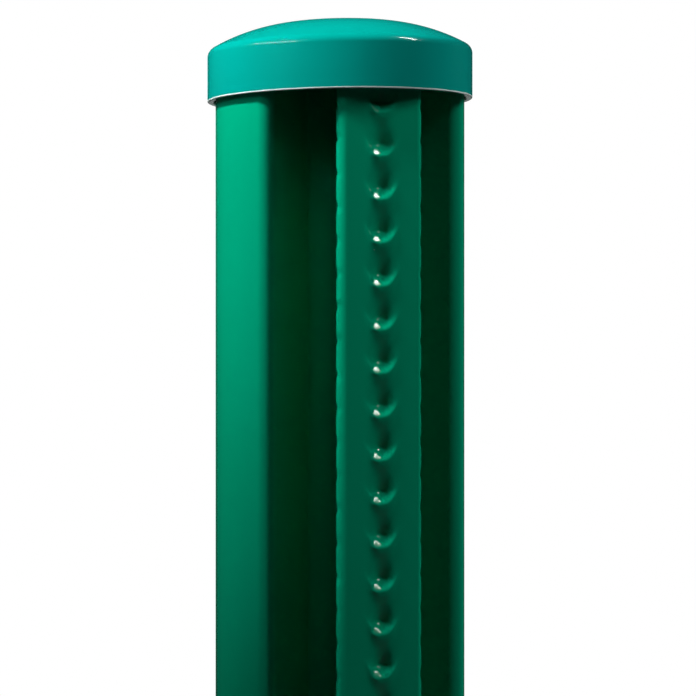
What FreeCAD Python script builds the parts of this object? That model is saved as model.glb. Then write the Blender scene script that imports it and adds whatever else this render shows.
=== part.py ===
import FreeCAD, Part

import math
import os

import Sketcher

# Round steel fence post with a clip rail, closed by a plastic cap.
#
# The post is one strip, rolled into a round tube. On the front the strip turns in at two lobes, runs down
# two sloping walls to a flat groove floor, and comes out again as the two back-to-back sheets of a neck.
# The neck carries a flat rail, folded double with a round hem at each edge, that the fence clips grip.
# A row of punched dents along the middle of the rail stitches its layers together.
#
# Frame: millimetres, +Z up the post, origin on the tube's axis at the foot, rail facing -Y.

SIZES = {
    "post_length": (1500, "cut length of the post"),
    "tube_diameter": (48, "outside of the round tube"),
    "strip": (1.5, "thickness of the steel strip"),
    "fold_gap": (0.2, "gap between two folded layers"),
    "lobe_angle": (60.5, "degrees from the rail's middle to where a lobe leaves the round"),
    "lobe_bend": (2.2, "outside radius of the bend at a lobe"),
    "floor_depth": (4.2, "groove floor in front of the tube's axis"),
    "floor_reach": (7.7, "where the groove floor ends, from the middle"),
    "floor_bend": (1.0, "groove side radius between floor and sloping wall"),
    "neck_bend": (1.0, "groove side radius at the foot of the neck"),
    "rail_bend": (0.8, "groove side radius between neck and rail"),
    "rail_clearance": (0.26, "least distance of the rail's hems inside the tube's round"),
    "rail_width": (16.6, "width of the rail over its hems"),
    "dent_pitch": (8.04, "spacing of the punched dents"),
    "dent_inset": (10.6, "deepest point of the first dent, below the top end"),
    "dent_margin": (4.0, "least distance of a dent's deepest point from the foot"),
    "dent_width": (5.6, "widest part of a dent"),
    "dent_scoop": (5.2, "length of a dent's gentle slope"),
    "dent_wall": (1.7, "length of a dent's steep lower wall"),
    "dent_depth": (1.0, "depth of a dent"),
    "cap_height": (15.2, "rim to crown"),
    "cap_skirt": (8.6, "rim to the start of the shoulder"),
    "cap_overlap": (8.0, "how far the cap reaches down over the tube, from rim to flat underside"),
    "cap_clearance": (0.15, "gap all round between tube and skirt"),
    "cap_skirt_wall": (1.35, "thickness of the skirt"),
    "cap_shoulder": (1.5, "outside radius of the shoulder"),
    "cap_crown": (110, "outside radius of the dome's flat middle"),
    "cap_crown_reach": (10.0, "where the flat middle meets the dome's slope, from the axis"),
    "cap_lead_in": (0.4, "chamfer inside the rim"),
}

# lengths that several outlines share
HEM = "(Sizes.strip + Sizes.fold_gap / 2)"
HEM_ACROSS = f"(Sizes.rail_width / 2 - {HEM})"
HEM_REACH = f"(Sizes.tube_diameter / 2 - Sizes.rail_clearance - {HEM})"
RAIL_FACE = f"(sqrt({HEM_REACH}^2 - {HEM_ACROSS}^2) + {HEM})"
CAP_BORE = "(Sizes.tube_diameter / 2 + Sizes.cap_clearance)"


def rail_face(s):
    """Distance of the rail's front from the tube's axis, which keeps its hems inside the tube's round."""
    hem = s.strip + s.fold_gap / 2
    across = s.rail_width / 2 - hem
    return math.sqrt((s.tube_diameter / 2 - s.rail_clearance - hem) ** 2 - across**2) + hem


def make_sheet(doc):
    """The driving dimensions, one aliased cell each."""
    sheet = doc.addObject("Spreadsheet::Sheet", "Sizes")
    for row, (name, (value, meaning)) in enumerate(SIZES.items(), start=1):
        sheet.set(f"A{row}", name)
        sheet.set(f"B{row}", str(value))
        sheet.setAlias(f"B{row}", name)
        sheet.set(f"C{row}", meaning)
    doc.recompute()
    return sheet


def origin_feature(body, role):
    """One of the body's own origin planes or axes, by its role."""
    return next(item for item in body.Origin.OriginFeatures if item.Role == role)


def polar(radius, degrees):
    """The point at a radius and an angle about the origin."""
    angle = math.radians(degrees)
    return radius * math.cos(angle), radius * math.sin(angle)


def shifted(point, radius, degrees):
    """The point at a radius and an angle about another point."""
    x, y = polar(radius, degrees)
    return point[0] + x, point[1] + y


class Outline:
    """A sketch that is drawn edge by edge, with edges known by name and sizes tied to the sheet."""

    START, END, CENTRE = range(1, 4)
    LEVEL_AXIS, UP_AXIS = range(-1, -3, -1)
    ORIGIN = (LEVEL_AXIS, START)

    def __init__(self, body, name, role, lift="0"):
        self.sketch = body.newObject("Sketcher::SketchObject", name)
        self.sketch.AttachmentSupport = [(origin_feature(body, role), "")]
        self.sketch.MapMode = "FlatFace"
        self.sketch.setExpression("AttachmentOffset.Base.z", f"({lift}) * 1 mm")
        self.index = {}

    def line(self, name, start, end, construction=False):
        edge = Part.LineSegment(FreeCAD.Vector(*start, 0), FreeCAD.Vector(*end, 0))
        self.index[name] = self.sketch.addGeometry(edge, construction)

    def arc(self, name, centre, radius, first, last):
        """An arc that runs anticlockwise from the angle first to the angle last, in degrees."""
        circle = Part.Circle(FreeCAD.Vector(*centre, 0), FreeCAD.Vector(0, 0, 1), radius)
        edge = Part.ArcOfCircle(circle, math.radians(first), math.radians(last))
        self.index[name] = self.sketch.addGeometry(edge, False)

    def constrain(self, kind, *where):
        return self.sketch.addConstraint(Sketcher.Constraint(kind, *where))

    def chain(self, names, smooth=True):
        """Joins each edge to the next where their nearest ends lie, tangent where smooth."""
        kind = "Tangent" if smooth else "Coincident"
        for first, second in zip(names, names[1:]):
            one = self.sketch.Geometry[self.index[first]]
            two = self.sketch.Geometry[self.index[second]]
            ends = [
                (a.distanceToPoint(b), i, j)
                for i, a in ((self.START, one.StartPoint), (self.END, one.EndPoint))
                for j, b in ((self.START, two.StartPoint), (self.END, two.EndPoint))
            ]
            _, i, j = min(ends)
            self.constrain(kind, self.index[first], i, self.index[second], j)

    def concentric(self, first, second):
        self.constrain("Coincident", self.index[first], self.CENTRE, self.index[second], self.CENTRE)

    def centred(self, *names):
        for name in names:
            self.constrain("Coincident", self.index[name], self.CENTRE, *self.ORIGIN)

    def on_axis(self, name, end):
        self.constrain("PointOnObject", self.index[name], end, self.UP_AXIS)

    def level(self, *names):
        for name in names:
            self.constrain("Horizontal", self.index[name])

    def upright(self, *names):
        for name in names:
            self.constrain("Vertical", self.index[name])

    def size(self, label, expression, kind, *where, unit="mm"):
        """A dimension that follows an expression of the sheet's cells."""
        value = self.sketch.evalExpression(expression)
        if unit == "deg":
            value = math.radians(value)
        number = self.constrain(kind, *where, value)
        self.sketch.renameConstraint(number, label)
        self.sketch.setExpression(f"Constraints.{label}", f"({expression}) * 1 {unit}")

    def radius(self, name, expression):
        self.size(f"{name}_radius", expression, "Radius", self.index[name])

    def across(self, name, end, expression):
        """Distance of an edge's point from the origin along the sketch's first axis."""
        self.size(f"{name}_across", expression, "DistanceX", *self.ORIGIN, self.index[name], end)

    def height(self, name, end, expression):
        """Distance of an edge's point from the origin along the sketch's second axis."""
        self.size(f"{name}_height", expression, "DistanceY", *self.ORIGIN, self.index[name], end)

    def depth(self, name, end, expression):
        """Distance of an edge's point from the origin, against the sketch's second axis."""
        self.size(f"{name}_depth", expression, "DistanceY", self.index[name], end, *self.ORIGIN)


def draw_section(body, s):
    """Half of the rolled strip's section, from the back of the tube round to the middle of the rail."""
    tube = s.tube_diameter / 2
    hem = s.strip + s.fold_gap / 2
    face = rail_face(s)
    rail_back = -face + 2 * hem
    lobe_way = s.lobe_angle - 90
    lobe = polar(tube - s.lobe_bend, lobe_way)
    floor = (s.floor_reach, -s.floor_depth - s.floor_bend)
    neck = (hem + s.neck_bend, -s.floor_depth - s.neck_bend)
    rail = (hem + s.rail_bend, rail_back + s.rail_bend)
    edge = (s.rail_width / 2 - hem, -face + hem)

    # the sloping wall touches the lobe's bend on one side and the floor's bend on the other
    lean = math.degrees(math.atan2(floor[1] - lobe[1], floor[0] - lobe[0]))
    wall_way = lean + math.degrees(math.acos((s.lobe_bend + s.floor_bend) / math.dist(lobe, floor)))

    out = Outline(body, "SectionSketch", "XY_Plane")

    def draw_face(suffix, skin):
        """One face of the strip, at a depth below its outside."""
        bend, corner = s.lobe_bend - skin, s.floor_bend + skin
        root, tip = s.neck_bend + skin, s.rail_bend + skin
        turn = hem - skin
        first = len(out.index)
        out.arc("back" + suffix, (0, 0), tube - skin, lobe_way, 90)
        out.arc("lobe" + suffix, lobe, bend, wall_way, lobe_way + 360)
        out.line("wall" + suffix, shifted(lobe, bend, wall_way), shifted(floor, -corner, wall_way))
        out.arc("floor_corner" + suffix, floor, corner, wall_way - 180, 90)
        out.line("floor" + suffix, shifted(floor, corner, 90), shifted(neck, root, 90))
        out.arc("neck_corner" + suffix, neck, root, 90, 180)
        out.line("neck" + suffix, shifted(neck, root, 180), shifted(rail, tip, 180))
        out.arc("rail_corner" + suffix, rail, tip, 180, 270)
        out.line("rail_back" + suffix, shifted(rail, tip, 270), shifted(edge, turn, 90))
        out.arc("hem" + suffix, edge, turn, 270, 450)
        out.line("rail_front" + suffix, shifted(edge, turn, 270), (0, edge[1] - turn))
        out.chain(list(out.index)[first:])
        out.centred("back" + suffix)
        out.level("floor" + suffix, "rail_back" + suffix, "rail_front" + suffix)
        out.upright("neck" + suffix)

    draw_face("", 0)
    draw_face("_inside", s.strip)
    for name in ("lobe", "floor_corner", "neck_corner", "rail_corner", "hem"):
        out.concentric(name, name + "_inside")

    out.line("back_middle", (0, tube - s.strip), (0, tube))
    out.line("rail_middle", (0, -face), (0, -face + s.strip))
    out.chain(["rail_front", "rail_middle", "rail_front_inside"], smooth=False)
    out.chain(["back_inside", "back_middle", "back"], smooth=False)
    for name in ("back_middle", "rail_middle"):
        out.on_axis(name, out.START)
        out.on_axis(name, out.END)

    out.line("lobe_ray", (0, 0), lobe, construction=True)
    ray = (out.index["lobe_ray"], out.START)
    out.constrain("Coincident", *ray, *out.ORIGIN)
    out.constrain("Coincident", out.index["lobe_ray"], out.END, out.index["lobe"], out.CENTRE)
    out.size("lobe_ray_angle", "Sizes.lobe_angle - 90", "Angle", *out.ORIGIN, *ray, unit="deg")

    out.radius("back", "Sizes.tube_diameter / 2")
    out.radius("back_inside", "Sizes.tube_diameter / 2 - Sizes.strip")
    out.radius("lobe", "Sizes.lobe_bend")
    out.radius("floor_corner", "Sizes.floor_bend")
    out.radius("floor_corner_inside", "Sizes.floor_bend + Sizes.strip")
    out.radius("neck_corner", "Sizes.neck_bend")
    out.radius("rail_corner", "Sizes.rail_bend")
    out.radius("hem", HEM)
    out.depth("floor", out.END, "Sizes.floor_depth")
    out.across("floor_corner", out.CENTRE, "Sizes.floor_reach")
    out.across("neck_inside", out.END, "Sizes.fold_gap / 2")
    out.depth("rail_middle", out.START, RAIL_FACE)
    out.across("hem", out.CENTRE, HEM_ACROSS)
    return out.sketch


def draw_dent(body, s):
    """One dent's outline in the rail's face, and its deepest point behind it."""
    deepest = s.post_length - s.dent_inset
    out = Outline(body, "DentOutline", "XZ_Plane", lift=RAIL_FACE)

    # each corner of the right half: its share of the half width, and its height from the deepest point
    corners = {
        "top": (0.35, s.dent_scoop, "Sizes.dent_scoop"),
        "shoulder": (0.8, 0.6 * s.dent_scoop, "0.6 * Sizes.dent_scoop"),
        "side": (1.0, 0.15 * s.dent_scoop, "0.15 * Sizes.dent_scoop"),
        "bottom": (0.55, -s.dent_wall, "-Sizes.dent_wall"),
    }
    right = [(share * s.dent_width / 2, deepest + up) for share, up, _ in corners.values()]
    left = [(-x, z) for x, z in reversed(right)]
    ring = right + left
    for number, (first, second) in enumerate(zip(ring, ring[1:] + ring[:1])):
        out.line(f"side{number}", first, second)
    out.chain([*out.index, "side0"], smooth=False)
    for number, (name, (share, _, up)) in enumerate(corners.items()):
        near = (out.index[f"side{number}"], out.START)
        far = (out.index[f"side{len(ring) - 1 - number}"], out.START)
        out.constrain("Symmetric", *near, *far, out.UP_AXIS)
        out.size(f"{name}_across", f"{share} * Sizes.dent_width / 2", "DistanceX", *out.ORIGIN, *near)
        where = f"Sizes.post_length - Sizes.dent_inset + {up}"
        out.size(f"{name}_height", where, "DistanceY", *out.ORIGIN, *near)

    pit = Outline(body, "DentBottom", "XZ_Plane", lift=f"{RAIL_FACE} - Sizes.dent_depth")
    point = pit.sketch.addGeometry(Part.Point(FreeCAD.Vector(0, deepest, 0)))
    pit.constrain("PointOnObject", point, pit.START, pit.UP_AXIS)
    height = "Sizes.post_length - Sizes.dent_inset"
    pit.size("height", height, "DistanceY", *pit.ORIGIN, point, pit.START)
    return out.sketch, pit.sketch


def make_post(doc, s):
    """The rolled strip with its folded rail and the stitching dents."""
    body = doc.addObject("PartDesign::Body", "Post")
    body.Label = "post"

    half = body.newObject("PartDesign::Pad", "HalfPost")
    half.Profile = draw_section(body, s)
    half.setExpression("Length", "Sizes.post_length * 1 mm")
    doc.recompute()

    whole = body.newObject("PartDesign::Mirrored", "WholePost")
    whole.Originals = [half]
    whole.MirrorPlane = (origin_feature(body, "YZ_Plane"), [""])
    body.Tip = whole
    doc.recompute()
    blank = body.Shape.Volume

    outline, bottom = draw_dent(body, s)
    doc.recompute()
    dent = body.newObject("PartDesign::SubtractiveLoft", "Dent")
    dent.Profile = outline
    dent.Sections = [(bottom, ["Vertex1"])]
    dent.Ruled = True
    doc.recompute()
    if body.Shape.Volume >= blank:
        raise RuntimeError("the dent cuts nothing")

    row = body.newObject("PartDesign::LinearPattern", "DentRow")
    row.Originals = [dent]
    row.Direction = (origin_feature(body, "Z_Axis"), [""])
    row.Reversed = True
    row.Mode = "Spacing"
    row.setExpression("Offset", "Sizes.dent_pitch * 1 mm")
    room = "Sizes.post_length - Sizes.dent_inset - Sizes.dent_margin"
    row.setExpression("Occurrences", f"floor(({room}) / Sizes.dent_pitch) + 1")
    body.Tip = row
    doc.recompute()
    return body


def draw_cap(body, s):
    """Half of the cap's section, with the rim at height 0 and the tube's axis upright."""
    bore = s.tube_diameter / 2 + s.cap_clearance
    skirt = bore + s.cap_skirt_wall
    lead = s.cap_lead_in
    shoulder = (skirt - s.cap_shoulder, s.cap_skirt)
    crown = (0, s.cap_height - s.cap_crown)

    # the slope's arc starts where the crown's ends, and touches the shoulder's
    join_way = math.degrees(math.acos(s.cap_crown_reach / s.cap_crown))
    join = shifted(crown, s.cap_crown, join_way)
    inward = polar(1, join_way + 180)
    apart = (join[0] - shoulder[0], join[1] - shoulder[1])
    drop = inward[0] * apart[0] + inward[1] * apart[1] + s.cap_shoulder
    bend = (s.cap_shoulder**2 - math.hypot(*apart) ** 2) / (2 * drop)
    flank = shifted(join, bend, join_way + 180)
    shoulder_way = math.degrees(math.atan2(shoulder[1] - flank[1], shoulder[0] - flank[0]))

    out = Outline(body, "CapSketch", "XZ_Plane")
    out.line("skirt", (skirt, 0), (skirt, s.cap_skirt))
    out.arc("shoulder", shoulder, s.cap_shoulder, 0, shoulder_way)
    out.arc("flank", flank, bend, shoulder_way, join_way)
    out.arc("crown", crown, s.cap_crown, join_way, 90)
    outside = list(out.index)
    out.line("middle", (0, s.cap_height), (0, s.cap_overlap))
    out.line("underside", (0, s.cap_overlap), (bore, s.cap_overlap))
    out.line("bore", (bore, s.cap_overlap), (bore, lead))
    out.line("lead_in", (bore, lead), (bore + lead, 0))
    out.line("rim", (bore + lead, 0), (skirt, 0))

    out.chain(outside)
    out.chain(["crown", "middle", "underside", "bore", "lead_in", "rim", "skirt"], smooth=False)
    out.on_axis("crown", out.CENTRE)
    out.on_axis("middle", out.START)
    out.on_axis("middle", out.END)
    out.upright("skirt", "bore")
    out.level("underside", "rim")
    out.constrain("PointOnObject", out.index["rim"], out.START, out.LEVEL_AXIS)

    out.radius("shoulder", "Sizes.cap_shoulder")
    out.radius("crown", "Sizes.cap_crown")
    out.across("crown", out.START, "Sizes.cap_crown_reach")
    out.across("skirt", out.END, f"{CAP_BORE} + Sizes.cap_skirt_wall")
    out.height("skirt", out.END, "Sizes.cap_skirt")
    out.height("middle", out.START, "Sizes.cap_height")
    out.height("underside", out.START, "Sizes.cap_overlap")
    out.across("bore", out.END, CAP_BORE)
    out.height("bore", out.END, "Sizes.cap_lead_in")
    lead_in = out.index["lead_in"]
    out.size("lead_in_width", "Sizes.cap_lead_in", "DistanceX", lead_in, out.START, lead_in, out.END)
    return out.sketch


def make_cap(doc, s):
    """The moulded cap, seated with its flat underside on the tube's end."""
    body = doc.addObject("PartDesign::Body", "Cap")
    body.Label = "cap"
    turned = body.newObject("PartDesign::Revolution", "CapShell")
    turned.Profile = draw_cap(body, s)
    turned.ReferenceAxis = (turned.Profile[0], ["V_Axis"])
    turned.Angle = 360
    body.setExpression("Placement.Base.z", "(Sizes.post_length - Sizes.cap_overlap) * 1 mm")
    doc.recompute()
    return body


def check(doc, bodies):
    """Stops if any object failed or a body isn't one valid solid."""
    for item in doc.Objects:
        if "Invalid" in item.State or "Error" in item.State:
            raise RuntimeError(f"{item.Name} did not build: {item.State}")
    for body in bodies:
        shape = body.Shape
        if shape.isNull() or not shape.isValid() or len(shape.Solids) != 1:
            raise RuntimeError(f"{body.Label} is not one valid solid")


def main():
    doc = FreeCAD.newDocument("FencePost")
    sheet = make_sheet(doc)
    bodies = [make_post(doc, sheet), make_cap(doc, sheet)]
    doc.recompute()
    check(doc, bodies)
    os.makedirs("parts", exist_ok=True)
    for body in bodies:
        body.Shape.exportStep(f"parts/{body.Label}.step")
        print(body.Label, "volume", round(body.Shape.Volume), "faces", len(body.Shape.Faces))


main()
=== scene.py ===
"""Looks of a round steel fence post with a folded clip rail and a moulded cap.

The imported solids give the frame: metres, +Z up the post, the rail facing -Y, the origin on the
tube's axis at the foot. The post and the cap are drawn again here with their pressed dents, soft
bends and rounded edges, and stand in a small photographer's studio.
"""

import logging
import math
from collections.abc import Iterable
from dataclasses import dataclass, field
from enum import Enum

import bpy
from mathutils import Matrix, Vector

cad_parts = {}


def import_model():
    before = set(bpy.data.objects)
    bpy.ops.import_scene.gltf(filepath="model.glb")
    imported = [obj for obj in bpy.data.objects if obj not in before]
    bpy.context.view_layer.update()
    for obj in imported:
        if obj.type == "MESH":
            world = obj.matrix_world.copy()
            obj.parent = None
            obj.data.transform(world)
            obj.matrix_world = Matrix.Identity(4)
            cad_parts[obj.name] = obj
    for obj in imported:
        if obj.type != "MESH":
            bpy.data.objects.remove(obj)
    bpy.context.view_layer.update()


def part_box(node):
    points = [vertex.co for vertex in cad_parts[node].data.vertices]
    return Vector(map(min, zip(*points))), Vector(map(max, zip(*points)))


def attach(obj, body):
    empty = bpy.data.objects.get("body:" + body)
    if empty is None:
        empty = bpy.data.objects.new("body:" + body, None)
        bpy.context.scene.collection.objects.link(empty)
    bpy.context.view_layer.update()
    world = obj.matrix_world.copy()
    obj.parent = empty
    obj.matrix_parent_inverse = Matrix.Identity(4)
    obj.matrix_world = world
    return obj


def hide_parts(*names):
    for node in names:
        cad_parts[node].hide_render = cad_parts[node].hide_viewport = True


LOG = logging.getLogger("fence_post")
MM = 0.001
# the points on the cap's rim that get a painted highlight
PAINTED_RIM_GLINT = "painted_rim_glint"
# points of a section that are nearer than this, in millimetres, are one
SAME_PLACE = 1e-9

Colour = tuple[float, float, float, float]
Point = tuple[float, float]
# the points of a section, each with its normal
Outline = list[tuple[Point, Point]]


def linear(hex_colour: str) -> Colour:
    """Turn an sRGB colour into the linear values that shaders work with.

    Args:
        hex_colour: The colour as "#RRGGBB".

    Returns:
        The linear red, green, blue and an alpha of 1.
    """
    values = [int(hex_colour[i : i + 2], 16) / 255 for i in (1, 3, 5)]
    # the curve of the sRGB standard
    return (*(v / 12.92 if v <= 0.04045 else ((v + 0.055) / 1.055) ** 2.4 for v in values), 1.0)


def add_node(
    tree: bpy.types.NodeTree,
    kind: str,
    settings: dict[str | int, object] | None = None,
    links: dict[str | int, bpy.types.NodeSocket] | None = None,
) -> bpy.types.Node:
    """Add one shader node.

    Args:
        tree: The node tree that gets it.
        kind: The node's type, such as "ShaderNodeMath".
        settings: Values by name. A number, or a name that is no property of the node, is one of
            its inputs.
        links: Sockets to join to the node's inputs, by the input's name or number.

    Returns:
        The new node.
    """
    node = tree.nodes.new(kind)
    for name, value in (settings or {}).items():
        if isinstance(name, str) and hasattr(node, name):
            setattr(node, name, value)
        else:
            node.inputs[name].default_value = value
    for name, socket in (links or {}).items():
        tree.links.new(socket, node.inputs[name])
    return node


def new_material(name: str) -> tuple[bpy.types.Material, bpy.types.NodeTree]:
    """Make a node material with nothing in it.

    Args:
        name: The material's name.

    Returns:
        The material and its empty node tree.
    """
    material = bpy.data.materials.new(name)
    material.use_nodes = True
    material.node_tree.nodes.clear()
    return material, material.node_tree


def polar(radius: float, degrees: float) -> Point:
    """The point at a radius and an angle about the origin."""
    angle = math.radians(degrees)
    return radius * math.cos(angle), radius * math.sin(angle)


def arc(centre: Point, radius: float, first: float, last: float, steps: int) -> Outline:
    """Draw an arc of a section.

    Args:
        centre: Its centre.
        radius: Its radius.
        first: The angle at which it starts, in degrees.
        last: The angle at which it ends.
        steps: Number of equal steps between its points.

    Returns:
        Its points, both ends taken in, each with its direction from the centre.
    """
    points = []
    for i in range(steps + 1):
        x, y = polar(1, first + (last - first) * i / steps)
        points.append(((centre[0] + radius * x, centre[1] + radius * y), (x, y)))
    return points


def straight(first: Point, last: Point) -> Outline:
    """Draw a straight run of a section.

    Args:
        first: The point at which it starts.
        last: The point at which it ends.

    Returns:
        Both points, each with the direction to the left of the run.
    """
    length = math.dist(first, last)
    normal = ((last[1] - first[1]) / -length, (last[0] - first[0]) / length)
    return [(first, normal), (last, normal)]


@dataclass(frozen=True)
class PowderCoat:
    """Polyester powder coat on galvanised steel, sprayed as dust and baked.

    It melts into a closed glossy film with a faint orange peel, which softens the edges of
    reflections. The green pigment hides the zinc completely. Dust settles on it as a few pale
    specks.
    """

    green: str = "#00A57D"
    shade: str = "#009C72"
    speck: str = "#8FB9A8"
    roughness: float = 0.13
    specular: float = 0.35
    ior: float = 1.5
    # the peel's waves are about a millimetre across, and so low that only a reflection shows them
    peel: float = 0.9 * MM
    peel_height: float = 0.0035 * MM
    # the coat is a little thicker and thinner over a few centimetres
    cloud: float = 35 * MM
    speck_spacing: float = 9 * MM
    # dust is finer than this, and drawn a pixel or two wide so that it shows
    speck_radius: float = 0.16 * MM

    def material(self) -> bpy.types.Material:
        """Build the node material.

        Returns:
            The material.
        """
        material, tree = new_material("green_powder_coat")
        place = add_node(tree, "ShaderNodeTexCoord").outputs["Object"]

        # the pigment lies a little thicker here and there
        clouds = add_node(
            tree,
            "ShaderNodeTexNoise",
            {"Scale": 1 / self.cloud, "Detail": 3.0},
            {"Vector": place},
        )
        tone = add_node(
            tree,
            "ShaderNodeMix",
            {"data_type": "RGBA", 6: linear(self.shade), 7: linear(self.green)},
            {0: clouds.outputs["Fac"]},
        )

        # specks of dust: the middle of a cell now and then
        cells = add_node(
            tree,
            "ShaderNodeTexVoronoi",
            {"Scale": 1 / self.speck_spacing, "Randomness": 1.0},
            {"Vector": place},
        )
        near = add_node(
            tree,
            "ShaderNodeMath",
            {"operation": "LESS_THAN", 1: self.speck_radius / self.speck_spacing},
            {0: cells.outputs["Distance"]},
        )
        dusty = add_node(
            tree,
            "ShaderNodeMix",
            {"data_type": "RGBA", 7: linear(self.speck)},
            {0: near.outputs[0], 6: tone.outputs[2]},
        )

        peel = add_node(
            tree,
            "ShaderNodeTexNoise",
            {"Scale": 1 / self.peel, "Detail": 1.0},
            {"Vector": place},
        )
        bump = add_node(
            tree,
            "ShaderNodeBump",
            {"Strength": 1.0, "Distance": self.peel_height},
            {"Height": peel.outputs["Fac"]},
        )
        coat = add_node(
            tree,
            "ShaderNodeBsdfPrincipled",
            {"Roughness": self.roughness, "Specular IOR Level": self.specular, "IOR": self.ior},
            {"Base Color": dusty.outputs[2], "Normal": bump.outputs["Normal"]},
        )
        add_node(tree, "ShaderNodeOutputMaterial", None, {"Surface": coat.outputs[0]})
        return material


@dataclass(frozen=True)
class MouldedPlastic:
    """Injection moulded polyethylene, coloured through.

    The mould's polish leaves a smooth, softly shining skin, a little waxy, and its teal is bluer
    than the post's coat. Along the rim's round, a near-white band is a painted highlight: it stands
    in for the glint of light that the thin rim catches.
    """

    teal: str = "#009D92"
    shade: str = "#009589"
    # the near-white of the painted highlight on the rim's round
    painted_glint: str = "#F2FFFC"
    roughness: float = 0.14
    specular: float = 0.5
    ior: float = 1.5
    # the melt's tone drifts over a centimetre or so
    flow: float = 14 * MM
    # the mould's polish is finer than this, and drawn at half a millimetre so that it shows
    grain: float = 0.5 * MM
    grain_height: float = 0.0015 * MM
    # the painted highlight on the rim breaks up over a couple of millimetres
    ragged: float = 2.2 * MM
    glint_softness: float = 0.1

    def material(self) -> bpy.types.Material:
        """Build the node material.

        Returns:
            The material.
        """
        material, tree = new_material("teal_moulded_plastic")
        place = add_node(tree, "ShaderNodeTexCoord").outputs["Object"]
        flow = add_node(
            tree,
            "ShaderNodeTexNoise",
            {"Scale": 1 / self.flow, "Detail": 2.0},
            {"Vector": place},
        )
        tone = add_node(
            tree,
            "ShaderNodeMix",
            {"data_type": "RGBA", 6: linear(self.shade), 7: linear(self.teal)},
            {0: flow.outputs["Fac"]},
        )

        # the painted highlight along the rim, thicker here and thinner there
        edge = add_node(tree, "ShaderNodeAttribute", {"attribute_name": PAINTED_RIM_GLINT})
        glint_breakup = add_node(
            tree,
            "ShaderNodeTexNoise",
            {"Scale": 1 / self.ragged, "Detail": 3.0},
            {"Vector": place},
        )
        thick = add_node(
            tree,
            "ShaderNodeMath",
            {"operation": "SUBTRACT"},
            {0: edge.outputs["Fac"], 1: glint_breakup.outputs["Fac"]},
        )
        shown = add_node(
            tree,
            "ShaderNodeMapRange",
            {
                "From Min": -self.glint_softness,
                "From Max": self.glint_softness,
                "interpolation_type": "SMOOTHSTEP",
            },
            {"Value": thick.outputs[0]},
        )
        glinted = add_node(
            tree,
            "ShaderNodeMix",
            {"data_type": "RGBA", 7: linear(self.painted_glint)},
            {0: shown.outputs["Result"], 6: tone.outputs[2]},
        )

        grain = add_node(
            tree,
            "ShaderNodeTexNoise",
            {"Scale": 1 / self.grain, "Detail": 2.0},
            {"Vector": place},
        )
        bump = add_node(
            tree,
            "ShaderNodeBump",
            {"Strength": 1.0, "Distance": self.grain_height},
            {"Height": grain.outputs["Fac"]},
        )
        skin = add_node(
            tree,
            "ShaderNodeBsdfPrincipled",
            {"Roughness": self.roughness, "Specular IOR Level": self.specular, "IOR": self.ior},
            {"Base Color": glinted.outputs[2], "Normal": bump.outputs["Normal"]},
        )
        add_node(tree, "ShaderNodeOutputMaterial", None, {"Surface": skin.outputs[0]})
        return material


@dataclass(frozen=True)
class StudioPaper:
    """Seamless background paper of bleached pulp, rolled smooth and left uncoated.

    It is white and fully matt, so it takes the object's shadow without a reflection. Towards its
    edge it fades into the white behind it.
    """

    white: str = "#F2F2F0"
    # the pulp lies in low clouds, a few millimetres across
    fibre: float = 2.5 * MM
    fibre_height: float = 0.1 * MM
    # distances from the post, in metres
    fade_from: float = 0.4
    fade_to: float = 1.7

    def material(self) -> bpy.types.Material:
        """Build the node material, plain white to the camera towards its edge.

        Returns:
            The material.
        """
        material, tree = new_material("studio_paper")
        place = add_node(tree, "ShaderNodeTexCoord").outputs["Object"]
        fibre = add_node(tree, "ShaderNodeTexNoise", {"Scale": 1 / self.fibre}, {"Vector": place})
        bump = add_node(
            tree,
            "ShaderNodeBump",
            {"Distance": self.fibre_height},
            {"Height": fibre.outputs["Fac"]},
        )
        paper = add_node(
            tree,
            "ShaderNodeBsdfDiffuse",
            {"Color": linear(self.white)},
            {"Normal": bump.outputs["Normal"]},
        )
        glow = add_node(tree, "ShaderNodeEmission", {"Color": (1, 1, 1, 1), "Strength": 1.0})
        reach = add_node(tree, "ShaderNodeVectorMath", {"operation": "LENGTH"}, {0: place})
        fade = add_node(
            tree,
            "ShaderNodeMapRange",
            {
                "From Min": self.fade_from,
                "From Max": self.fade_to,
                "interpolation_type": "SMOOTHSTEP",
            },
            {"Value": reach.outputs["Value"]},
        )
        ray = add_node(tree, "ShaderNodeLightPath")
        seen = add_node(
            tree,
            "ShaderNodeMath",
            {"operation": "MULTIPLY"},
            {0: fade.outputs["Result"], 1: ray.outputs["Is Camera Ray"]},
        )
        mixed = add_node(
            tree,
            "ShaderNodeMixShader",
            None,
            {0: seen.outputs[0], 1: paper.outputs[0], 2: glow.outputs[0]},
        )
        add_node(tree, "ShaderNodeOutputMaterial", None, {"Surface": mixed.outputs[0]})
        return material


class Zone(Enum):
    """What a stretch of the strip's outside is, which decides the marks that tools left on it."""

    PLAIN = "plain"
    HEM = "hem"
    RAIL_FRONT = "rail front"


@dataclass(frozen=True)
class Station:
    """One upright line of the post's skin, as a point of its section.

    Args:
        place: The point, in millimetres.
        normal: The direction out of the steel there.
        zone: What the stretch is.
    """

    place: Point
    normal: Point
    zone: Zone = Zone.PLAIN

    def mirrored(self) -> "Station":
        """The same line on the other side of the middle plane."""
        (x, y), (nx, ny) = self.place, self.normal
        return Station((-x, y), (-nx, ny), self.zone)


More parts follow.
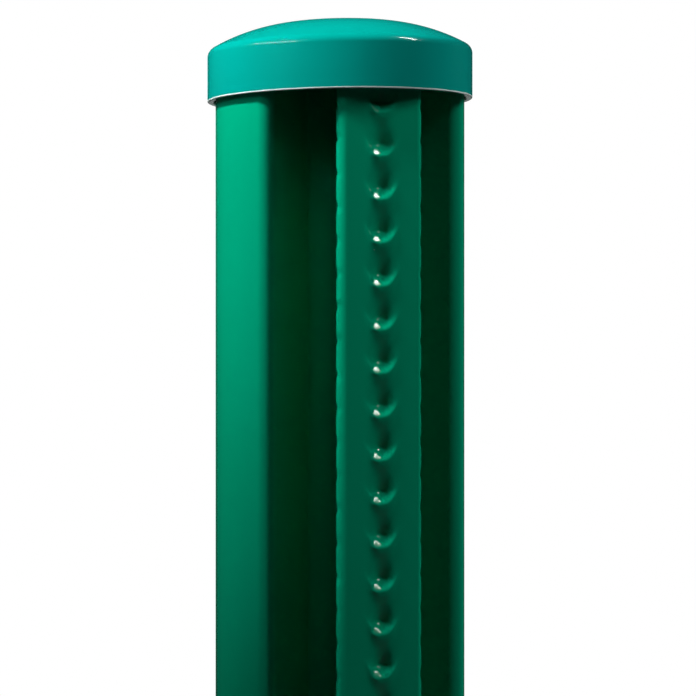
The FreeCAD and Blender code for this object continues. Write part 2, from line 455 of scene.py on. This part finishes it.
@dataclass(frozen=True)
class Dent:
    """A stitching dent: a scoop that deepens downwards to a bowed wall, and a raised ridge below.

    Its sizes are in millimetres, and its places are measured from its deepest point.
    """

    # the scoop: its depth, its length upwards, how its floor curves and its half width
    depth: float = 2.0
    scoop: float = 6.2
    sweep: float = 1.6
    groove: float = 1.8
    # the wall: how it bows up towards its ends, its length downwards and its slope
    bow: float = 0.26
    wall: float = 1.2
    steepness: float = 0.8
    # how softly the floor meets the wall, and the dent meets the rail's face
    crease: float = 0.4
    lip: float = 0.25
    # the ridge of steel that the punch pushed up
    ridge: float = 0.55
    ridge_place: float = 1.6
    ridge_width: float = 0.9
    ridge_tail: float = 1.7
    half_width: float = 2.7
    # the flat facet on the wall: its middle, size, depth and slopes to the right and upwards
    facet: Point = (-1.15, -0.72)
    facet_radius: float = 1.0
    facet_depth: float = -0.2
    facet_lean: Point = (0.16, 0.46)

    def at(self, x: float, up: float) -> float:
        """How far one dent moves the rail's face at a point.

        Args:
            x: Distance from the middle of the rail.
            up: Height above the dent's deepest point.

        Returns:
            The depth below the flat face, less than nothing on the ridge.
        """
        rise = up - self.bow * x * x
        left = 1 - rise / self.scoop
        middle = math.exp(-((x / self.groove) ** 2))
        run = left**self.sweep if left > 0 else left
        floor = self.depth * run * middle - self.lip * (1 - middle)
        side = self.steepness * (rise + self.wall)

        # the smaller of the two, rounded where they meet, and nothing beyond the dent's round lip
        deep = 0.5 * (floor + side - math.sqrt((floor - side) ** 2 + self.crease**2))
        hollow = 0.0
        if deep >= self.lip:
            hollow = deep
        elif deep > -self.lip:
            hollow = (deep + self.lip) ** 2 / (4 * self.lip)

        beyond = rise + self.ridge_place
        spread = self.ridge_width if beyond > 0 else self.ridge_tail
        over = (beyond / spread) ** 2 + (x / self.half_width) ** 4
        moved = hollow - self.ridge * math.exp(-over)

        # the punch's corner leaves a small flat facet, the spot that glints
        aside, above = x - self.facet[0], up - self.facet[1]
        near = math.exp(-(((aside**2 + above**2) / self.facet_radius**2) ** 3))
        plane = self.facet_depth + self.facet_lean[0] * aside + self.facet_lean[1] * above
        return moved + near * (plane - moved)


@dataclass
class Post:
    """The rolled steel post, in millimetres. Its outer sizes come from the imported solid."""

    low: Vector
    high: Vector
    # the folded strip, from the round back over a lobe, a groove and the neck to the rail's hem
    strip: float = 1.5
    fold_gap: float = 0.2
    lobe_angle: float = 60.5
    lobe_bend: float = 2.2
    floor_depth: float = 4.2
    floor_reach: float = 7.7
    floor_bend: float = 1.0
    neck_bend: float = 1.0
    rail_bend: float = 0.8
    hem_bend: float = 1.45
    rail_width: float = 16.6
    # the dents: their pitch, the first one's distance from the top end, the last one's least
    # distance from the foot, and how far from the rail's middle they reach
    dent_pitch: float = 8.04
    dent_inset: float = 10.6
    dent_margin: float = 4.0
    dent_field: float = 4.2
    dent: Dent = field(default_factory=Dent)
    # the faint notches in the hems
    notch_pitch: float = 6.2
    notch_length: float = 2.0
    notch_depth: float = 0.32
    notch_start: float = 1492.2
    # how finely the skin is drawn: levels to a dent, and how many dents count as near the camera
    rows: int = 32
    fine_dents: int = 16
    # levels from row to row, near and far: the dents need close rows and the plain sides hardly any
    dent_spacing: tuple[int, int] = (1, 4)
    hem_spacing: tuple[int, int] = (4, 8)
    plain_spacing: tuple[int, int] = (256, 256)
    # lines from the rail's middle to the dents' reach, and steps to each bend
    dent_columns: int = 14
    back_steps: int = 44
    lobe_steps: int = 14
    floor_steps: int = 5
    neck_steps: int = 7
    rail_steps: int = 6
    hem_steps: int = 7
    # how far to either side of a point its slope is measured
    slope_reach: float = 0.04

    def __post_init__(self) -> None:
        """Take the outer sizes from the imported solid's box."""
        self.tube: float = self.high.x / MM
        # the face lies a ridge's height deeper, so that the ridges end at the solid's face
        self.face: float = -self.low.y / MM - self.dent.ridge
        self.length: float = self.high.z / MM
        room = self.length - self.dent_inset - self.dent_margin
        self.dents: int = math.floor(room / self.dent_pitch) + 1
        self.levels: list[float] = self._levels()

    def _first_edge(self) -> float:
        """Height of the upper end of the first dent's cell, above the dent's own upper end."""
        spare = self.dent_pitch - self.dent.scoop - self.dent.wall
        return self.length - self.dent_inset + self.dent.scoop + spare / 2

    def _levels(self) -> list[float]:
        """Work out all heights at which the skin may have a row.

        Returns:
            The heights, from the top end down.
        """
        step = self.dent_pitch / self.rows
        inner = [self._first_edge() - step * i for i in range(self.dents * self.rows + 1)]
        return [self.length, *(z for z in inner if z > step), 0.0]

    def _every(self, near: int, far: int) -> list[int]:
        """Numbers of the levels that a line of the skin uses.

        Args:
            near: Steps between its rows at the top, where the camera is close.
            far: Steps between its rows further down.

        Returns:
            The numbers, from the top end down.
        """
        last = len(self.levels) - 1
        change = self.fine_dents * self.rows
        kept = [i + 1 for i in range(last - 1) if i % (near if i < change else far) == 0]
        return [0, *kept, last]

    def _half(self, skin: float) -> list[Station]:
        """Half of one skin's section, from the back of the tube round to the middle of the rail.

        Args:
            skin: Depth of the skin below the strip's outside: none, or the strip's thickness.

        Returns:
            Its stations, the same number for either skin.
        """
        hem = self.strip + self.fold_gap / 2
        rail_back = -self.face + 2 * hem
        lobe_way = self.lobe_angle - 90
        lobe = polar(self.tube - self.lobe_bend, lobe_way)
        floor = (self.floor_reach, -self.floor_depth - self.floor_bend)
        neck = (hem + self.neck_bend, -self.floor_depth - self.neck_bend)
        rail = (hem + self.rail_bend, rail_back + self.rail_bend)
        edge = (self.rail_width / 2 - hem, -self.face + hem)
        lean = math.degrees(math.atan2(floor[1] - lobe[1], floor[0] - lobe[0]))
        apart = math.dist(lobe, floor)
        wall_way = lean + math.degrees(math.acos((self.lobe_bend + self.floor_bend) / apart))

        # the outside of a hem turns in two bends, and its inside in one round its middle
        turn = hem - skin if skin > 0 else self.hem_bend
        across = 0.0 if skin > 0 else hem - turn

        back = arc((0, 0), self.tube - skin, 90, lobe_way, self.back_steps)[:-1]
        over = arc(lobe, self.lobe_bend - skin, lobe_way, wall_way - 360, self.lobe_steps)
        under = arc(floor, self.floor_bend + skin, wall_way - 180, 90, self.floor_steps)
        inward = arc(neck, self.neck_bend + skin, 90, 180, self.neck_steps)
        outward = arc(rail, self.rail_bend + skin, 180, 270, self.rail_steps)
        hem_back = arc((edge[0] + across, edge[1] + across), turn, 90, 0, self.hem_steps)
        hem_front = arc((edge[0] + across, edge[1] - across), turn, 0, -90, self.hem_steps)

        # normals point away from a bend's centre, or to it where the bend is hollow, and the other
        # way on the inner skin
        side = 1 if skin == 0 else -1
        runs = (
            (side, Zone.PLAIN, back + over),
            (-side, Zone.PLAIN, under + inward + outward),
            (side, Zone.HEM, hem_back + hem_front),
        )
        line = [
            Station(place, (out * x, out * y), zone)
            for out, zone, run in runs
            for place, (x, y) in run
        ]
        front = -self.face + skin
        for i in range(self.dent_columns + 1):
            x = self.dent_field * (1 - i / self.dent_columns)
            line.append(Station((x, front), (0, -side), Zone.RAIL_FRONT))
        return line

    def _loop(self, skin: float) -> list[Station]:
        """One skin's whole section, right side first, closed on itself."""
        half = self._half(skin)
        return half + [s.mirrored() for s in reversed(half[1:-1])]

    def _mark(self, station: Station, z: float) -> float:
        """Work out how far the tools pressed the skin in.

        Args:
            station: The line of the skin.
            z: Height on that line.

        Returns:
            The depth, less than nothing where the steel is pushed out.
        """
        x = station.place[0]
        if station.zone is Zone.RAIL_FRONT:
            below = self.length - self.dent_inset - z
            first = math.floor(below / self.dent_pitch)
            near = [n for n in (first, first + 1) if 0 <= n < self.dents]
            return sum(self.dent.at(x, n * self.dent_pitch - below) for n in near)
        if station.zone is Zone.HEM:
            outward = max(station.normal[0] * math.copysign(1, x), 0.0)
            phase = ((self.notch_start - z) / self.notch_pitch) % 1
            away = abs(phase - 0.5) * self.notch_pitch
            bite = max(0.0, 1 - (away / (self.notch_length / 2)) ** 2)
            return self.notch_depth * bite * outward**3
        return 0.0

    def _place(self, station: Station, z: float) -> tuple[Vector, Vector]:
        """Work out one point of the skin.

        Args:
            station: The line of the skin.
            z: Height on that line, in millimetres.

        Returns:
            The point, in metres, and the direction out of the steel there.
        """
        x, y = station.place
        nx, ny = station.normal
        if station.zone is Zone.PLAIN:
            return Vector((x, y, z)) * MM, Vector((nx, ny, 0))
        step = self.slope_reach
        deep = self._mark(station, z)
        rise = (self._mark(station, z + step) - self._mark(station, z - step)) / (2 * step)
        along = 0.0
        if station.zone is Zone.RAIL_FRONT:
            right = Station((x + step, y), station.normal, station.zone)
            left = Station((x - step, y), station.normal, station.zone)
            along = (self._mark(right, z) - self._mark(left, z)) / (2 * step)
        normal = Vector((nx + along, ny, rise)).normalized()
        return Vector((x - deep * nx, y - deep * ny, z)) * MM, normal

    def build(self) -> bpy.types.Object:
        """Make the post's mesh as one closed skin.

        Returns:
            The object, not yet dressed or tied to the frame.
        """
        rows = {
            Zone.RAIL_FRONT: self._every(*self.dent_spacing),
            Zone.HEM: self._every(*self.hem_spacing),
            Zone.PLAIN: self._every(*self.plain_spacing),
        }
        ends = [0, len(self.levels) - 1]
        sheet = Skin()
        outside = [
            sheet.line((i, *self._place(station, self.levels[i])) for i in rows[station.zone])
            for station in self._loop(0)
        ]
        inside = []
        for station in self._loop(self.strip):
            out = Vector((*station.normal, 0))
            tips = [(i, Vector((*station.place, self.levels[i])) * MM, out) for i in ends]
            inside.append(sheet.line(tips))
        sheet.weave(outside, flip=True)
        sheet.weave(inside)
        sheet.rim(outside, inside, ends[0], Vector((0, 0, 1)))
        sheet.rim(outside, inside, ends[1], Vector((0, 0, -1)), flip=True)
        return sheet.make("rolled_post")

    def dress(self, piece: bpy.types.Object) -> None:
        """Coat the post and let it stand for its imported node."""
        stand_in(piece, "post", PowderCoat().material())


class Skin:
    """A mesh in the making: upright lines of points with normals, woven into faces."""

    def __init__(self) -> None:
        """Start with no points and no faces."""
        self.points: list[Vector] = []
        self.normals: list[Vector] = []
        self.faces: list[list[int]] = []
        # faces with one normal of their own
        self.flat: dict[int, Vector] = {}

    def line(self, rows: Iterable[tuple[int, Vector, Vector]]) -> dict[int, int]:
        """Add one line of points.

        Args:
            rows: Level number, place and normal of each point, from the top down.

        Returns:
            The point's number for each level number.
        """
        made = {}
        for level, place, normal in rows:
            made[level] = len(self.points)
            self.points.append(place)
            self.normals.append(normal)
        return made

    def weave(self, lines: list[dict[int, int]], flip: bool = False) -> None:
        """Fill the skin between neighbouring lines, the last joined to the first.

        Where two lines have rows at different heights, a face runs between the heights they share
        and takes in all points between them.

        Args:
            lines: The lines, in order round the section.
            flip: Turn the faces over.
        """
        for one, two in zip(lines, lines[1:] + lines[:1]):
            shared = [level for level in one if level in two]
            for top, bottom in zip(shared, shared[1:]):
                left = [one[i] for i in self._between(one, top, bottom)]
                right = [two[i] for i in self._between(two, top, bottom)]
                face = left + right[::-1]
                self.faces.append(face[::-1] if flip else face)

    @staticmethod
    def _between(line: dict[int, int], top: int, bottom: int) -> list[int]:
        """Find the levels of a line from one shared level to the next.

        Args:
            line: The line.
            top: The upper shared level.
            bottom: The lower one.

        Returns:
            The levels, both shared ones taken in.
        """
        if bottom - top == 1:
            return [top, bottom]
        return [i for i in range(top, bottom + 1) if i in line]

    def rim(
        self,
        outer: list[dict[int, int]],
        inner: list[dict[int, int]],
        level: int,
        normal: Vector,
        flip: bool = False,
    ) -> None:
        """Close the cut end between two skins.

        Args:
            outer: Lines of the outer skin.
            inner: Lines of the inner skin, one for each of the outer's.
            level: The end's level number.
            normal: The end's direction.
            flip: Turn the faces over.
        """
        count = len(outer)
        for i in range(count):
            j = (i + 1) % count
            face = [outer[j][level], outer[i][level], inner[i][level], inner[j][level]]
            self.flat[len(self.faces)] = normal
            self.faces.append(face[::-1] if flip else face)

    def make(self, name: str) -> bpy.types.Object:
        """Turn the points and faces into an object, shaded by the normals of its points.

        Args:
            name: The object's name.

        Returns:
            The object.
        """
        mesh = bpy.data.meshes.new(name)
        mesh.from_pydata([tuple(p) for p in self.points], [], self.faces)
        mesh.shade_smooth()
        corners = [
            tuple(self.flat.get(number, self.normals[point]))
            for number, face in enumerate(self.faces)
            for point in face
        ]
        mesh.normals_split_custom_set(corners)
        made = bpy.data.objects.new(name, mesh)
        bpy.context.scene.collection.objects.link(made)
        return made


@dataclass
class Cap:
    """The moulded cap, in millimetres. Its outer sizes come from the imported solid."""

    low: Vector
    high: Vector
    tube: float
    skirt_height: float = 8.6
    overlap: float = 8.0
    clearance: float = 0.15
    shoulder: float = 1.9
    crown: float = 110.0
    crown_reach: float = 10.0
    lead_in: float = 0.4
    rim_round: float = 0.22
    parting: float = 0.16
    # the rim's round gets the painted highlight where its normal's height is between these, so
    # from the skirt to just before the underside
    painted_glint_from: float = 0.01
    painted_glint_to: float = -0.99
    # the cap sits slightly askew, in degrees, and stands higher on the camera's right
    askew: float = 1.0
    askew_way: float = -20.5
    # how finely the cap is drawn
    sides: int = 192
    crown_steps: int = 6
    flank_steps: int = 16
    shoulder_steps: int = 12
    rim_steps: int = 5

    def __post_init__(self) -> None:
        """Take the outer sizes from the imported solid's box."""
        self.radius: float = self.high.x / MM
        self.rim: float = self.low.z / MM
        self.height: float = (self.high.z - self.low.z) / MM

    def _profile(self) -> Outline:
        """Draw the cap's section, from the crown down the outside and up the bore.

        Returns:
            Its points, each with its normal.
        """
        # the flank is the arc that runs smoothly from the crown into the shoulder
        crown = (0.0, self.height - self.crown)
        shoulder = (self.radius - self.shoulder, self.skirt_height)
        join_way = math.degrees(math.acos(self.crown_reach / self.crown))
        join = (crown[0] + self.crown_reach, crown[1] + polar(self.crown, join_way)[1])
        inward = polar(1, join_way + 180)
        apart = (join[0] - shoulder[0], join[1] - shoulder[1])
        drop = inward[0] * apart[0] + inward[1] * apart[1] + self.shoulder
        slope = (self.shoulder**2 - math.hypot(*apart) ** 2) / (2 * drop)
        flank = (join[0] + slope * inward[0], join[1] + slope * inward[1])
        shoulder_way = math.degrees(math.atan2(shoulder[1] - flank[1], shoulder[0] - flank[0]))
        soft, lead, bore = self.rim_round, self.lead_in, self.tube + self.clearance

        return [
            *arc(crown, self.crown, 90, join_way, self.crown_steps),
            *arc(flank, slope, join_way, shoulder_way, self.flank_steps)[:-1],
            *arc(shoulder, self.shoulder, shoulder_way, 0, self.shoulder_steps),
            ((self.radius, soft + self.parting), (1.0, 0.0)),
            *arc((self.radius - soft, soft), soft, 0, -90, self.rim_steps),
            *straight((self.radius - soft, 0), (bore + lead, 0)),
            *straight((bore + lead, 0), (bore, lead)),
            *straight((bore, lead), (bore, self.overlap)),
            *straight((bore, self.overlap), (0, self.overlap)),
        ]

    def _faces(self, profile: Outline, rings: list[list[int]]) -> list[list[int]]:
        """Fill the skin between neighbouring rings.

        Args:
            profile: The cap's section.
            rings: The points' numbers on the ring of each of the section's points.

        Returns:
            The faces, as points' numbers.
        """
        faces = []
        for one, two, (first, _), (second, _) in zip(rings, rings[1:], profile, profile[1:]):
            if math.dist(first, second) < SAME_PLACE:
                continue
            for i in range(self.sides):
                j = (i + 1) % self.sides
                if len(one) == 1:
                    faces.append([one[0], two[i], two[j]])
                elif len(two) == 1:
                    faces.append([one[i], two[0], one[j]])
                else:
                    faces.append([one[i], two[i], two[j], one[j]])
        return faces

    def build(self) -> bpy.types.Object:
        """Turn the section about the post's axis.

        Returns:
            The object, not yet dressed or tied to the frame.
        """
        profile = self._profile()
        tilt = math.tan(math.radians(self.askew))
        across = polar(1, self.askew_way)
        # a tilted dome has its highest point off the axis, and sinks by as much as that would rise
        sunk = tilt**2 * self.crown / 2
        points: list[Vector] = []
        normals: list[Vector] = []
        rings: list[list[int]] = []
        for (r, z), (nr, nz) in profile:
            ring = []
            for i in range(self.sides if r > 0 else 1):
                x, y = polar(1, 360 * i / self.sides)
                lift = tilt * r * (x * across[0] + y * across[1]) - sunk
                ring.append(len(points))
                points.append(Vector((r * x, r * y, self.rim + z + lift)) * MM)
                normals.append(Vector((nr * x, nr * y, nz)))
            rings.append(ring)
        faces = self._faces(profile, rings)
        mesh = bpy.data.meshes.new("moulded_cap")
        mesh.from_pydata([tuple(p) for p in points], [], faces)
        mesh.shade_smooth()
        mesh.normals_split_custom_set([tuple(normals[p]) for face in faces for p in face])

        # mark the rim's round, where the plastic gets its painted highlight
        edge = mesh.attributes.new(PAINTED_RIM_GLINT, "FLOAT", "POINT")
        for ring, ((_, z), (_, upward)) in zip(rings, profile):
            painted_glint = z <= self.rim_round and self.painted_glint_to < upward < self.painted_glint_from
            for point in ring:
                edge.data[point].value = float(painted_glint)
        made = bpy.data.objects.new("moulded_cap", mesh)
        bpy.context.scene.collection.objects.link(made)
        return made

    def dress(self, piece: bpy.types.Object) -> None:
        """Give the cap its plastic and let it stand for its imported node."""
        stand_in(piece, "cap", MouldedPlastic().material())


class Head(Enum):
    """What kind of lamp head a stand carries."""

    PANEL = "AREA"
    SPOT = "SPOT"


@dataclass(frozen=True)
class Lamp:
    """One lamp of the studio.

    Args:
        name: What the lamp does.
        head: Its kind.
        way: Direction from the post, in degrees to the right of the camera's side.
        up: Height of that direction above level, in degrees.
        far: Distance from the point that it is aimed at, in metres.
        wide: Width of a panel's face, or a spot's diameter, in metres.
        tall: Height of a panel's face, in metres.
        power: Light it gives, in watts.
        fan: How far its light fans out, in degrees.
        aim: Height that it is aimed at, in metres.
        mirrored: Whether shiny surfaces mirror it.
    """

    name: str
    head: Head
    way: float
    up: float
    far: float
    wide: float
    tall: float
    power: float
    fan: float = 180.0
    aim: float = 1.46
    mirrored: bool = True

    def hang(self, way: Vector) -> bpy.types.Object:
        """Hang the lamp in a direction from the post, where the camera doesn't see it.

        Args:
            way: The direction.

        Returns:
            The lamp.
        """
        data = bpy.data.lights.new(self.name, self.head.value)
        data.energy = self.power
        if self.head is Head.PANEL:
            data.shape, data.size, data.size_y = "RECTANGLE", self.wide, self.tall
            data.spread = math.radians(self.fan)
        else:
            data.shadow_soft_size = self.wide / 2
            data.spot_size, data.spot_blend = math.radians(self.fan), 1.0
        made = bpy.data.objects.new(self.name, data)
        made.location = way * self.far + Vector((0, 0, self.aim))
        made.rotation_mode = "QUATERNION"
        made.rotation_quaternion = (-way).to_track_quat("-Z", "Y")
        made.visible_camera = False
        made.visible_glossy = self.mirrored
        bpy.context.scene.collection.objects.link(made)
        return made


def shine_row(count: int, first: float, apart: float) -> list[Lamp]:
    """Give a row of small low lamps, which the cap's shoulder mirrors as one bright line.

    Args:
        count: How many there are.
        first: Direction of the first one, in degrees to the right of the camera's side.
        apart: Degrees from each one to the next one on its left.

    Returns:
        The lamps, aimed so high that they hardly light the post below the cap.
    """
    ways = [first - apart * i for i in range(count)]
    return [
        Lamp(f"cap_shine_{i}", Head.SPOT, way, 20, 0.8, 0.03, 0, 3.4, 6.0, 1.52)
        for i, way in enumerate(ways)
    ]


@dataclass
class Studio:
    """Camera, lamps, white surroundings and floor."""

    # the camera: its way round the post in degrees, its place in metres, and its lens and film in
    # millimetres
    side: float = -20.5
    far: float = 0.503
    height: float = 1.4444
    lens: float = 135.0
    sensor: float = 36.0
    # it sees from here to there, in metres
    nearest: float = 0.05
    furthest: float = 20.0
    # where the post's axis stands in a picture of this width, in pixels
    axis_pixel: float = 340.0
    picture: float = 696.0
    floor_radius: float = 2.6
    floor_sides: int = 96
    # the strength of the dim room, and the cosines of the angles off straight ahead at which the
    # white backdrop fades in
    room: float = 0.005
    backdrop_from: float = 0.992
    backdrop_to: float = 0.9995
    # each with its way, height angle, distance, width, height, power, fan, aim and whether shiny
    # surfaces mirror it
    lamps: tuple[Lamp, ...] = (
        Lamp("key_right", Head.SPOT, -56, 45, 0.8, 0.08, 0, 10.5, 15.4, 1.51, False),
        Lamp("key_middle", Head.SPOT, -64, 45, 0.8, 0.08, 0, 17.0, 15.4, 1.51, False),
        Lamp("key_left", Head.SPOT, -74, 45, 0.8, 0.08, 0, 23.0, 15.4, 1.51, False),
        *shine_row(count=5, first=-42, apart=8.5),
        Lamp("low_left", Head.SPOT, -34, 32, 0.8, 0.15, 0, 2.4, 15.4, 1.51, False),
        Lamp("fill_right", Head.SPOT, 50, 35, 0.8, 0.06, 0, 0.8, 15.4, 1.50, False),
        Lamp("spark", Head.PANEL, 71, 41, 0.8, 0.025, 0.32, 2.1),
        Lamp("spark_top", Head.SPOT, 71, 41, 0.8, 0.05, 0, 1.5, 15.4, 1.51, False),
        Lamp("back_right", Head.PANEL, 124, 18, 1.2, 0.35, 0.35, 5.5, mirrored=False),
        Lamp("back_left", Head.PANEL, -130, 18, 1.2, 0.4, 0.4, 4.5, mirrored=False),
        Lamp("strip_left", Head.PANEL, -60, 15, 0.9, 0.15, 0.9, 0.8, 40, 0.63, False),
        Lamp("strip_right", Head.PANEL, 35, 15, 0.9, 0.15, 0.9, 0.4, 40, 0.63, False),
    )

    def _way(self, way: float, up: float = 0.0) -> Vector:
        """Direction from the post, by its way from the camera's side and its height angle."""
        a, e = math.radians(self.side + way), math.radians(up)
        return Vector((math.sin(a) * math.cos(e), -math.cos(a) * math.cos(e), math.sin(e)))

    def camera(self) -> None:
        """Set the camera up where the photographer stood."""
        data = bpy.data.cameras.new("camera")
        data.lens, data.sensor_width = self.lens, self.sensor
        data.clip_start, data.clip_end = self.nearest, self.furthest
        made = bpy.data.objects.new("camera", data)
        made.location = self._way(0) * self.far + Vector((0, 0, self.height))
        focal = self.picture * self.lens / self.sensor
        pan = math.degrees(math.atan((self.picture / 2 - self.axis_pixel) / focal))
        made.rotation_mode = "QUATERNION"
        made.rotation_quaternion = (-self._way(-pan)).to_track_quat("-Z", "Y")
        bpy.context.scene.collection.objects.link(made)
        bpy.context.scene.camera = made

    def light(self) -> None:
        """Hang the lamps, which the camera doesn't see."""
        for lamp in self.lamps:
            lamp.hang(self._way(lamp.way, lamp.up))

    def surround(self) -> None:
        """Make the room, dim but for the white backdrop that the camera and reflections see."""
        world = bpy.data.worlds.new("studio")
        bpy.context.scene.world = world
        world.use_nodes = True
        tree = world.node_tree
        tree.nodes.clear()
        ray = add_node(tree, "ShaderNodeLightPath")
        way = add_node(tree, "ShaderNodeTexCoord")
        back = -self._way(0)
        ahead = add_node(
            tree,
            "ShaderNodeVectorMath",
            {"operation": "DOT_PRODUCT", 1: back},
            {0: way.outputs["Generated"]},
        )
        backdrop = add_node(
            tree,
            "ShaderNodeMapRange",
            {
                "From Min": self.backdrop_from,
                "From Max": self.backdrop_to,
                "interpolation_type": "SMOOTHSTEP",
            },
            {"Value": ahead.outputs["Value"]},
        )
        shiny = add_node(
            tree,
            "ShaderNodeMath",
            {"operation": "MAXIMUM"},
            {0: ray.outputs["Is Glossy Ray"], 1: ray.outputs["Is Transmission Ray"]},
        )
        mirrored = add_node(
            tree,
            "ShaderNodeMath",
            {"operation": "MULTIPLY"},
            {0: shiny.outputs[0], 1: backdrop.outputs["Result"]},
        )
        shown = add_node(
            tree,
            "ShaderNodeMath",
            {"operation": "MAXIMUM"},
            {0: ray.outputs["Is Camera Ray"], 1: mirrored.outputs[0]},
        )
        room = add_node(
            tree,
            "ShaderNodeBackground",
            {"Color": (1, 1, 1, 1), "Strength": self.room},
        )
        white = add_node(tree, "ShaderNodeBackground", {"Color": (1, 1, 1, 1), "Strength": 1.0})
        mixed = add_node(
            tree,
            "ShaderNodeMixShader",
            None,
            {0: shown.outputs[0], 1: room.outputs[0], 2: white.outputs[0]},
        )
        add_node(tree, "ShaderNodeOutputWorld", None, {"Surface": mixed.outputs[0]})

    def floor(self) -> None:
        """Lay a round sheet of white paper under the post's foot."""
        count = self.floor_sides
        mesh = bpy.data.meshes.new("studio_floor")
        ring = [(*polar(self.floor_radius, 360 * i / count), 0.0) for i in range(count)]
        mesh.from_pydata(ring, [], [list(range(count))])
        mesh.materials.append(StudioPaper().material())
        made = bpy.data.objects.new("studio_floor", mesh)
        bpy.context.scene.collection.objects.link(made)

    def build(self) -> None:
        """Set up the whole studio."""
        self.camera()
        self.light()
        self.surround()
        self.floor()


def stand_in(piece: bpy.types.Object, node: str, material: bpy.types.Material) -> None:
    """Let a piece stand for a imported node, both with the same finish.

    Args:
        piece: The piece.
        node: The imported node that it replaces.
        material: The finish.
    """
    for mesh in (piece.data, bpy.data.objects[node].data):
        mesh.materials.clear()
        mesh.materials.append(material)
    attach(piece, "root")
    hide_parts(node)


def main() -> None:
    """Load the frame, build the post, the cap and the studio."""
    logging.basicConfig(level=logging.INFO, format="%(message)s")
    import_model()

    post = Post(*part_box("post"))
    cap = Cap(*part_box("cap"), tube=post.tube)
    for part in (post, cap):
        piece = part.build()
        part.dress(piece)
        LOG.info("%s: %d faces", piece.name, len(piece.data.polygons))

    Studio().build()
    bpy.context.scene.view_settings.view_transform = "Standard"


if __name__ == "__main__":
    main()
